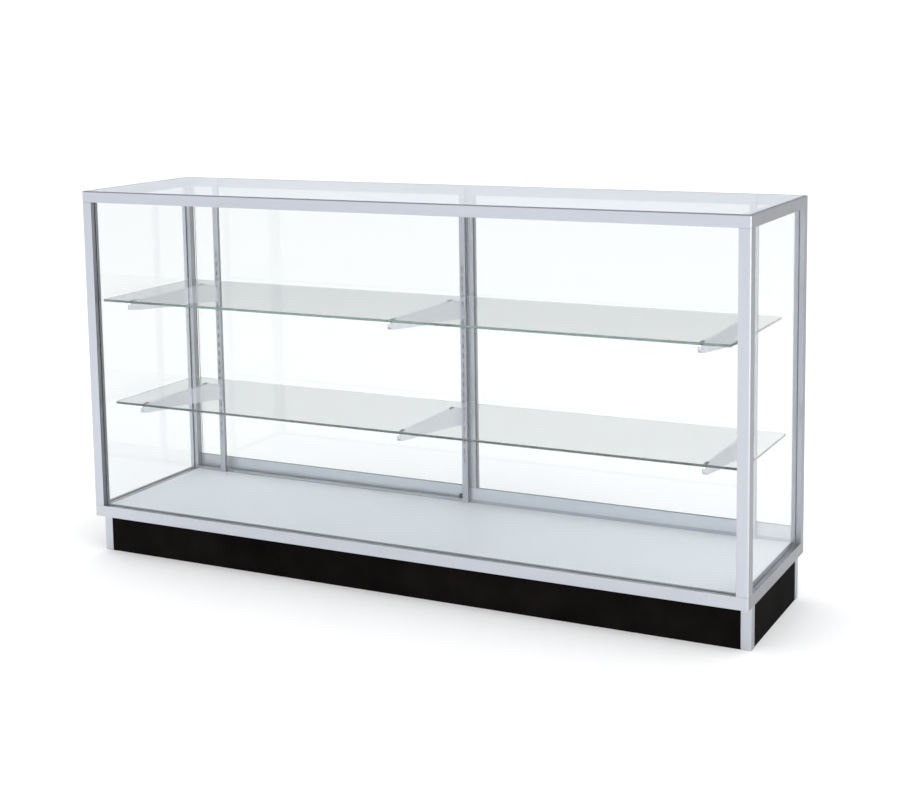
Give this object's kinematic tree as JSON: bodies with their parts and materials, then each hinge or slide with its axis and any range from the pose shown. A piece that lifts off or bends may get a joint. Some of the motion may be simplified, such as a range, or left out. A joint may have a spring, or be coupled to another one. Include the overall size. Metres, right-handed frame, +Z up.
{
  "type": "glass display case",
  "caption": "Counter-height glass display case with an aluminium frame, two sliding rear doors, glass shelves on slotted standards and a black recessed base.",
  "frame": {"origin": "centre of the case's footprint, on the floor", "axes": "+X along the case's length to the viewer's right, +Y from the front glass to the rear doors, +Z up"},
  "size_m": [1.778, 0.457, 0.965],
  "materials": {
    "silver_anodised": "satin anodised extrusion",
    "trim_aluminium": "satin anodised angle",
    "clear_glass": "clear tempered, polished edges",
    "shelf_glass": "clear with green polished edges",
    "black_seal": "matt black rubber",
    "white_laminate": "white melamine laminate",
    "black_laminate": "black laminate, fine texture",
    "plywood": "raw sheet board",
    "nylon": "natural nylon",
    "zinc_steel": "zinc plated",
    "cast_key": "plain casting, hidden",
    "satin_steel": "satin zinc plated sheet"
  },
  "bodies": {
    "case": {"base_panel": "plywood", "bottom_rail_front": "silver_anodised", "bottom_rail_left": "silver_anodised", "bottom_rail_rear": "silver_anodised", "bottom_rail_right": "silver_anodised", "bracket_cushions": "black_seal", "corner_keys": "cast_key", "deck_panel": "white_laminate", "frame_screws": "zinc_steel", "front_glass": "clear_glass", "front_seal": "black_seal", "kick_board_front": "black_laminate", "kick_board_left": "black_laminate", "kick_board_rear": "black_laminate", "kick_board_right": "black_laminate", "kick_braces": "plywood", "kick_corner_trims": "trim_aluminium", "left_glass": "clear_glass", "lower_bracket_centre": "satin_steel", "lower_bracket_left": "satin_steel", "lower_bracket_right": "satin_steel", "lower_track": "silver_anodised", "post_front_left": "silver_anodised", "post_front_right": "silver_anodised", "post_rear_left": "silver_anodised", "post_rear_right": "silver_anodised", "right_glass": "clear_glass", "side_seals": "black_seal", "standard_centre": "silver_anodised", "standard_left": "silver_anodised", "standard_right": "silver_anodised", "standard_screws": "zinc_steel", "top_glass": "clear_glass", "top_rail_front": "silver_anodised", "top_rail_left": "silver_anodised", "top_rail_rear": "silver_anodised", "top_rail_right": "silver_anodised", "top_seal": "black_seal", "upper_bracket_centre": "satin_steel", "upper_bracket_left": "satin_steel", "upper_bracket_right": "satin_steel", "upper_guide": "nylon"},
    "left_door": {"left_door_glass": "clear_glass", "left_door_shoe": "silver_anodised", "left_door_glazing": "black_seal", "left_door_stile": "silver_anodised", "left_door_stop": "black_seal", "left_door_axles": "zinc_steel"},
    "left_door_roller_left": {"left_door_roller_left": "nylon"},
    "left_door_roller_right": {"left_door_roller_right": "nylon"},
    "right_door": {"right_door_glass": "clear_glass", "right_door_shoe": "silver_anodised", "right_door_glazing": "black_seal", "right_door_stile": "silver_anodised", "right_door_stop": "black_seal", "right_door_axles": "zinc_steel"},
    "right_door_roller_left": {"right_door_roller_left": "nylon"},
    "right_door_roller_right": {"right_door_roller_right": "nylon"},
    "lower_shelf": {"lower_shelf_glass": "shelf_glass"},
    "upper_shelf": {"upper_shelf_glass": "shelf_glass"}
  },
  "joints": [
    {"name": "left_door_slide", "type": "slide", "parent": "case", "child": "left_door", "axis": [1, 0, 0], "range_m": [0, 0.8]},
    {"name": "right_door_slide", "type": "slide", "parent": "case", "child": "right_door", "axis": [-1, 0, 0], "range_m": [0, 0.8]},
    {"name": "left_door_roller_left_spin", "type": "hinge", "parent": "left_door", "child": "left_door_roller_left", "pos_m": [-0.7694, 0.2205, 0.1401], "axis": [0, 1, 0], "continuous": true},
    {"name": "left_door_roller_right_spin", "type": "hinge", "parent": "left_door", "child": "left_door_roller_right", "pos_m": [-0.064, 0.2205, 0.1401], "axis": [0, 1, 0], "continuous": true},
    {"name": "right_door_roller_left_spin", "type": "hinge", "parent": "right_door", "child": "right_door_roller_left", "pos_m": [0.094, 0.2079, 0.1401], "axis": [0, 1, 0], "continuous": true},
    {"name": "right_door_roller_right_spin", "type": "hinge", "parent": "right_door", "child": "right_door_roller_right", "pos_m": [0.7694, 0.2079, 0.1401], "axis": [0, 1, 0], "continuous": true},
    {"name": "lower_shelf_lift", "type": "slide", "parent": "case", "child": "lower_shelf", "axis": [0, 0, 1], "range_m": [0, 0.03]},
    {"name": "upper_shelf_lift", "type": "slide", "parent": "case", "child": "upper_shelf", "axis": [0, 0, 1], "range_m": [0, 0.03]}
  ],
  "couplings": [
    {"joint": "left_door_roller_left_spin", "follows": "left_door_slide", "rad_per_m": 125},
    {"joint": "left_door_roller_right_spin", "follows": "left_door_slide", "rad_per_m": 125},
    {"joint": "right_door_roller_left_spin", "follows": "right_door_slide", "rad_per_m": -125},
    {"joint": "right_door_roller_right_spin", "follows": "right_door_slide", "rad_per_m": -125}
  ]
}
